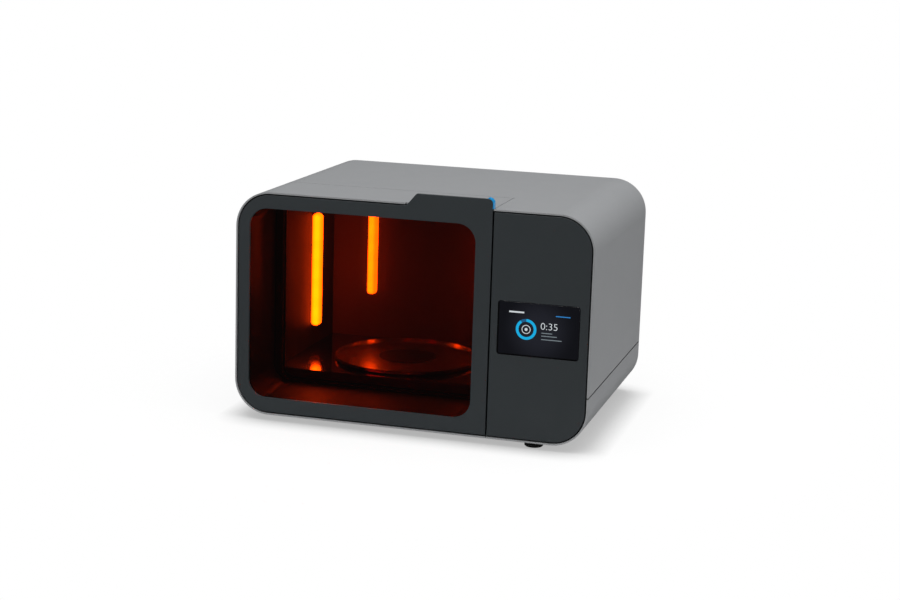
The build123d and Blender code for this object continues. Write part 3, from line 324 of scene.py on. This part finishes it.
def circuitBoard():  # green circuit board with copper tracks under the lacquer
    material, shader = newMaterial("greenCircuitBoard", **{"Coat Weight": 0.6, "Coat Roughness": 0.15})
    tracks = addNode(
        material,
        "ShaderNodeTexBrick",
        {
            "Vector": place(material),
            "Scale": 1 / (14 * mm),
            "Mortar Size": 0.03,
            "Color1": linear("0f4a2a"),
            "Color2": linear("125230"),
            "Mortar": linear("3a7a3c"),
        },
    )
    drive(material, shader, "Base Color", tracks.outputs["Color"])
    drive(material, shader, "Roughness", between(material, grain(material, 2 * mm), 0.35, 0.5))
    return material


def siliconeFoam():  # grey closed-cell silicone foam
    material, shader = newMaterial("greySiliconeFoam", **{"Base Color": linear("77787a"), "Roughness": 0.9})
    pores = addNode(
        material, "ShaderNodeTexVoronoi", {"Vector": place(material), "Scale": 1 / (1.2 * mm)}
    )
    roughen(material, shader, pores.outputs["Distance"], 0.3 * mm)
    return material


def heaterSilicone():  # red-brown silicone heating mat with its woven backing
    material, shader = newMaterial("redBrownSiliconeMat", **{"Roughness": 0.7})
    weave = addNode(
        material, "ShaderNodeTexChecker", {"Vector": place(material), "Scale": 1 / (1.5 * mm)}
    )
    tone = mixedColour(material, weave.outputs["Fac"], linear("8a3b1e"), linear("7c3218"))
    drive(material, shader, "Base Color", tone)
    roughen(material, shader, weave.outputs["Fac"], 0.05 * mm)
    return material


def screenLight(name, hexColour, strength):
    # A lit area of the display in one colour, with its faint pixel rows
    material, shader = newMaterial(
        name, **{"Base Color": grey(0.0), "Roughness": 0.6, "Emission Color": linear(hexColour)}
    )
    rows = addNode(
        material,
        "ShaderNodeTexWave",
        {"Vector": place(material), "Scale": 1 / (2 * math.pi * 0.25 * mm)},
        bands_direction="Z",
    )
    glow = between(material, rows.outputs["Fac"], strength * 0.95, strength * 1.05)
    drive(material, shader, "Emission Strength", glow)
    return material


def screenBlack():  # the dark face of the display module, with the faint glow of its backlight; that glow also stands in for the cover glass's reflection as a painted reflection
    material, shader = newMaterial(
        "darkDisplayFace", **{"Base Color": linear("0b0d10"), "Emission Color": linear("1f2027")}
    )
    low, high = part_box("display_module")
    ends = {0: place(material), 1: tuple((low + high) / 2)}
    away = addNode(material, "ShaderNodeVectorMath", ends, operation="DISTANCE").outputs["Value"]
    # brighter towards the middle: backlight glow, and partly a painted reflection of the cover glass
    glow = between(material, away, 1.1, 0.4, 14 * mm, 50 * mm, smooth=True)
    drive(material, shader, "Emission Strength", glow)
    drive(material, shader, "Roughness", between(material, grain(material, 1 * mm), 0.4, 0.5))
    return material


blackMoulding = blackPolymer("mattBlackPolymer", "0b0b0c", 0.18)
blackFitting = blackPolymer("satinBlackPolymer", "161718", 0.5)
finishOf = {
    "grey_painted_case": satinCasePaint("satinGreyCasePaint"),
    "dark_front_plate": frontPlatePolymer(),
    "black_plastic": blackMoulding,
    "black_rubber": blackRubber(),
    "amber_acrylic": amberAcrylic(),
    "display_glass": coverGlass(),
    "blue_accent": blueGlossPolymer(),
    "dark_liner_sheet": darkLiner(),
    "polished_steel": polishedSteel(),
    "brushed_steel": brushedSteel(),
    "zinc_steel": zincSteel(),
    "steel_magnet": nickelPlate(),
    "aluminium": plainAluminium(),
    "diode_board": diodeBoard(),
    "circuit_board": circuitBoard(),
    "foam": siliconeFoam(),
    "silicone_mat": heaterSilicone(),
    "dark_cap": blackMoulding,
}
seam = {"upperLip": 0.4 * mm, "baseLip": 8.8 * mm}  # how far each shell is painted black from its edge, as painted shade in the seam's gap
ownFinish = {  # nodes that look unlike the rest of their slot
    "upper_shell": satinCasePaint("satinGreyUpperPaint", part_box("upper_shell")[0].z, seam["upperLip"]),
    "base_shell": satinCasePaint("satinGreyBasePaint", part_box("base_shell")[1].z, seam["baseLip"]),
    "display_module": screenBlack(),
    "back_panel": powderCoat(),
    "fan_frame": blackFitting,
    "fan_rotor": blackFitting,
    "power_inlet": blackFitting,
    "switch_frame": blackFitting,
    "power_rocker": blackFitting,
}
lightCovers = {  # brightness, and half the lit width as seen from the front; the rear pair is dimmer
    "left_light_diffuser": (19.0, 6.5 * mm),
    "right_light_diffuser": (19.0, 6.5 * mm),
    "rear_left_light_diffuser": (11.0, 6.0 * mm),
    "rear_right_light_diffuser": (11.0, 6.0 * mm),
}
coverFlange = 3 * mm  # the unlit flange at each end of a cover
for name, (brightness, radius) in lightCovers.items():
    low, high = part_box(name)
    middleX = (low.x + high.x) / 2
    if name == "left_light_diffuser":
        middleX = high.x - radius
    if name == "right_light_diffuser":
        middleX = low.x + radius
    label = name.replace("_", " ").title().replace(" ", "")
    ownFinish[name] = litDiffuser(
        label, brightness, middleX, low.z + coverFlange, high.z - coverFlange, radius
    )

for entry in frame["record"]["subparts"]:
    name = entry["node"]
    shown = nodes[name].data
    shown.materials.clear()
    shown.materials.append(ownFinish[name] if name in ownFinish else finishOf[entry["material_slot"]])
print("stage: finishes")


# Screen graphics, flat shapes at the back of the cover glass

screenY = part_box("display_glass")[1].y - 0.15 * mm
screen = {  # in millimetres
    "ring": (153.8, 153.3, 9.7, 13.2),  # middle, inner and outer radius
    "dial": (153.8, 153.3, 4.8, 5.7),
    "dot": (153.8, 153.3, 0.05, 1.9),
    "digits": (172.3, 193.6, 154.9, 163.4),  # left, right, low, high
    "title": (131.4, 150.6, 173.4, 175.4),
    "status": (190.9, 209.3, 172.4, 173.7),
    "lines": ((173.4, 187.2, 150.4), (173.4, 193.1, 146.7), (173.4, 199.4, 142.3)),  # left, right, middle
    "lineHalf": 0.55,
    "ringSteps": 64,  # for a whole turn
}


def toObject(name, mesh, material, body="case"):  # makes a bmesh into a piece that rides on a body
    data = bpy.data.meshes.new(name)
    mesh.to_mesh(data)
    mesh.free()
    data.materials.append(material)
    piece = bpy.data.objects.new(name, data)
    bpy.context.scene.collection.objects.link(piece)
    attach(piece, body)


def flatRing(name, centreX, centreZ, inner, outer, material, start=0.0, sweep=360.0):
    # A flat ring or part of one, facing the front, with its middle and radii in millimetres
    mesh = bmesh.new()
    steps = max(3, int(screen["ringSteps"] * sweep / 360))
    first = bmesh.ops.create_vert(mesh, co=(inner * mm, 0, 0))["vert"][0]
    second = bmesh.ops.create_vert(mesh, co=(outer * mm, 0, 0))["vert"][0]
    edge = mesh.edges.new((first, second))
    bmesh.ops.spin(
        mesh,
        geom=[first, second, edge],
        cent=(0, 0, 0),
        axis=(0, 1, 0),
        dvec=(0, 0, 0),
        angle=math.radians(sweep),
        steps=steps,
        use_merge=sweep >= 360,
        use_duplicate=False,
    )
    turn = Matrix.Rotation(math.radians(start), 4, "Y")
    shift = Matrix.Translation((centreX * mm, screenY, centreZ * mm))
    bmesh.ops.transform(mesh, matrix=shift @ turn, verts=mesh.verts)
    toObject(name, mesh, material)


def flatBar(name, left, right, low, high, material):
    # A flat lit bar facing the front, its edges in millimetres
    mesh = bmesh.new()
    bmesh.ops.create_grid(mesh, x_segments=1, y_segments=1, size=0.5)
    size = Matrix.Diagonal(((right - left) * mm, (high - low) * mm, 1, 1))
    upright = Matrix.Rotation(math.radians(90), 4, "X")
    middle = ((left + right) / 2 * mm, screenY, (low + high) / 2 * mm)
    bmesh.ops.transform(mesh, matrix=Matrix.Translation(middle) @ upright @ size, verts=mesh.verts)
    toObject(name, mesh, material)


def flatDigits(name, text, left, right, low, high, material):
    # Lit digits facing the front, fitted to a box in millimetres
    curve = bpy.data.curves.new(name, "FONT")
    curve.body = text
    curve.resolution_u = 6
    curve.offset = -0.012  # thinner strokes
    holder = bpy.data.objects.new(name + "Curve", curve)
    bpy.context.scene.collection.objects.link(holder)
    bpy.context.view_layer.update()
    flat = bpy.data.meshes.new_from_object(holder)
    bpy.data.objects.remove(holder)
    corners = [v.co.copy() for v in flat.vertices]
    lowX, highX = min(c.x for c in corners), max(c.x for c in corners)
    lowY, highY = min(c.y for c in corners), max(c.y for c in corners)
    mesh = bmesh.new()
    mesh.from_mesh(flat)
    bpy.data.meshes.remove(flat)
    toZero = Matrix.Translation((-lowX, -lowY, 0))
    wide, tall = (right - left) * mm / (highX - lowX), (high - low) * mm / (highY - lowY)
    size = Matrix.Diagonal((wide, tall, 1, 1))
    upright = Matrix.Rotation(math.radians(90), 4, "X")
    corner = Matrix.Translation((left * mm, screenY, low * mm))
    bmesh.ops.transform(mesh, matrix=corner @ upright @ size @ toZero, verts=mesh.verts)
    toObject(name, mesh, material)


litCyan = screenLight("litCyanScreen", "18b0e6", 1.0)
litBlue = screenLight("litBlueScreen", "3387cf", 0.9)
litDeepBlue = screenLight("litDeepBlueScreen", "1d5f8c", 1.0)
litWhite = screenLight("litWhiteScreen", "dfe6ea", 0.9)
litGrey = screenLight("litGreyScreen", "7f8a90", 0.9)

flatRing("dialRing", *screen["ring"], litCyan, start=-90, sweep=325)
flatRing("dialRingRest", *screen["ring"], litDeepBlue, start=235, sweep=35)
flatRing("dialInnerRing", *screen["dial"], litWhite)
flatRing("dialDot", *screen["dot"], litWhite)
flatDigits("timerDigits", "0:35", *screen["digits"], litWhite)
flatBar("titleBar", *screen["title"], litWhite)
flatBar("statusBar", *screen["status"], litBlue)
for count, (left, right, middle) in enumerate(screen["lines"], 1):
    low, high = middle - screen["lineHalf"], middle + screen["lineHalf"]
    flatBar(f"settingLine{count}", left, right, low, high, litGrey)
print("stage: screen")


# Floor, light and camera

floorLook = {
    "reach": 6.0,  # half its side
    "fadeStart": 0.3,
    "fadeEnd": 0.6,
    "whitened": 0.88,  # share of white emission, carrying the painted contact shadow, in what the camera sees
    "contactReach": 45 * mm,  # how far the painted contact shadow reaches: ambient occlusion from the object darkens that white
}


def fadeOut(material, shader):
    # The floor is whitened for the camera, ends softly in the surround, and is missing from reflections
    where = addNode(material, "ShaderNodeTexCoord").outputs["Object"]
    away = addNode(material, "ShaderNodeVectorMath", {0: where}, operation="LENGTH").outputs["Value"]
    edge = between(material, away, 0.0, 1.0, floorLook["fadeStart"], floorLook["fadeEnd"], smooth=True)
    path = addNode(material, "ShaderNodeLightPath")
    gone = reckon(material, "MAXIMUM", edge, path.outputs["Is Glossy Ray"])
    clear = addNode(material, "ShaderNodeBsdfTransparent")
    # the white seen by the camera is darkened near the object by ambient occlusion: a painted contact
    # shadow
    near = addNode(
        material, "ShaderNodeAmbientOcclusion", {"Distance": floorLook["contactReach"]}, samples=8
    )
    paintedShadowStrength = between(material, near.outputs["AO"], 0.5, 1.0, 0.45, 0.97)
    white = addNode(material, "ShaderNodeEmission", {"Color": grey(1.0), "Strength": paintedShadowStrength})
    paler = reckon(material, "MULTIPLY", path.outputs["Is Camera Ray"], floorLook["whitened"])
    seen = addNode(
        material,
        "ShaderNodeMixShader",
        {"Fac": paler, 1: shader.outputs["BSDF"], 2: white.outputs["Emission"]},
    )
    mix = addNode(
        material,
        "ShaderNodeMixShader",
        {"Fac": gone, 1: seen.outputs["Shader"], 2: clear.outputs["BSDF"]},
    )
    output = next(n for n in material.node_tree.nodes if n.type == "OUTPUT_MATERIAL")
    material.node_tree.links.new(mix.outputs["Shader"], output.inputs["Surface"])


def studioFloor():  # a wide pale floor under the feet
    mesh = bmesh.new()
    bmesh.ops.create_grid(mesh, x_segments=1, y_segments=1, size=floorLook["reach"])
    data = bpy.data.meshes.new("studioFloor")
    mesh.to_mesh(data)
    mesh.free()
    material, shader = newMaterial("paleStudioFloor", **{"Roughness": 0.9})
    tone = mixedColour(material, grain(material, 400 * mm), grey(0.93), grey(0.94))
    drive(material, shader, "Base Color", tone)
    fadeOut(material, shader)
    data.materials.append(material)
    floor = bpy.data.objects.new("studioFloor", data)
    bpy.context.scene.collection.objects.link(floor)


def softLight(name, location, target, width, height, power):  # a rectangular soft light aimed at a point
    data = bpy.data.lights.new(name, "AREA")
    data.shape = "RECTANGLE"
    data.size, data.size_y = width, height
    data.energy = power
    light = bpy.data.objects.new(name, data)
    light.location = location
    light.rotation_euler = (Vector(target) - Vector(location)).to_track_quat("-Z", "Y").to_euler()
    bpy.context.scene.collection.objects.link(light)


def whiteSurround(ambient, mirrored):
    # White for the camera alone, grey as light, and nearly black in reflections
    world = bpy.data.worlds.new("studioSurround")
    bpy.context.scene.world = world
    world.use_nodes = True
    world.node_tree.nodes.clear()
    path = addNode(world, "ShaderNodeLightPath")
    white, light, gloss = (
        addNode(world, "ShaderNodeBackground", {"Color": grey(value)}).outputs["Background"]
        for value in (1.0, ambient, mirrored)
    )
    dimmed = addNode(
        world, "ShaderNodeMixShader", {"Fac": path.outputs["Is Glossy Ray"], 1: light, 2: gloss}
    ).outputs["Shader"]
    mix = addNode(
        world, "ShaderNodeMixShader", {"Fac": path.outputs["Is Camera Ray"], 1: dimmed, 2: white}
    ).outputs["Shader"]
    addNode(world, "ShaderNodeOutputWorld", {"Surface": mix})


studioLights = {  # place, width, height and power in watts
    "overheadLight": ((0.1, -0.3, 2.2), 2.4, 2.4, 44),
    "frontLight": ((-1.6, -2.2, 1.2), 1.2, 1.6, 7),
    "sideLight": ((2.2, -0.2, 0.9), 1.2, 1.6, 15),
}
photoView = {  # from the fit to the case's edges in the photograph
    "lens": 75.22,
    "sensor": 36.0,
    "location": (0.6790, -2.3906, 0.6667),
    "rotation": (1.363446, -0.030881, 0.280799),
}

studioFloor()
whiteSurround(ambient=0.46, mirrored=0.03)
middle = (cadLow + cadHigh) / 2
for name, (location, width, height, power) in studioLights.items():
    softLight(name, location, middle, width, height, power)

cameraData = bpy.data.cameras.new("photoCamera")
cameraData.lens = photoView["lens"]
cameraData.sensor_width = photoView["sensor"]
cameraData.clip_start = 0.01
cameraData.clip_end = 30.0
camera = bpy.data.objects.new("photoCamera", cameraData)
camera.location = photoView["location"]
camera.rotation_euler = photoView["rotation"]
bpy.context.scene.collection.objects.link(camera)
bpy.context.scene.camera = camera

bpy.context.scene.view_settings.view_transform = "Standard"
print("stage: light and camera")
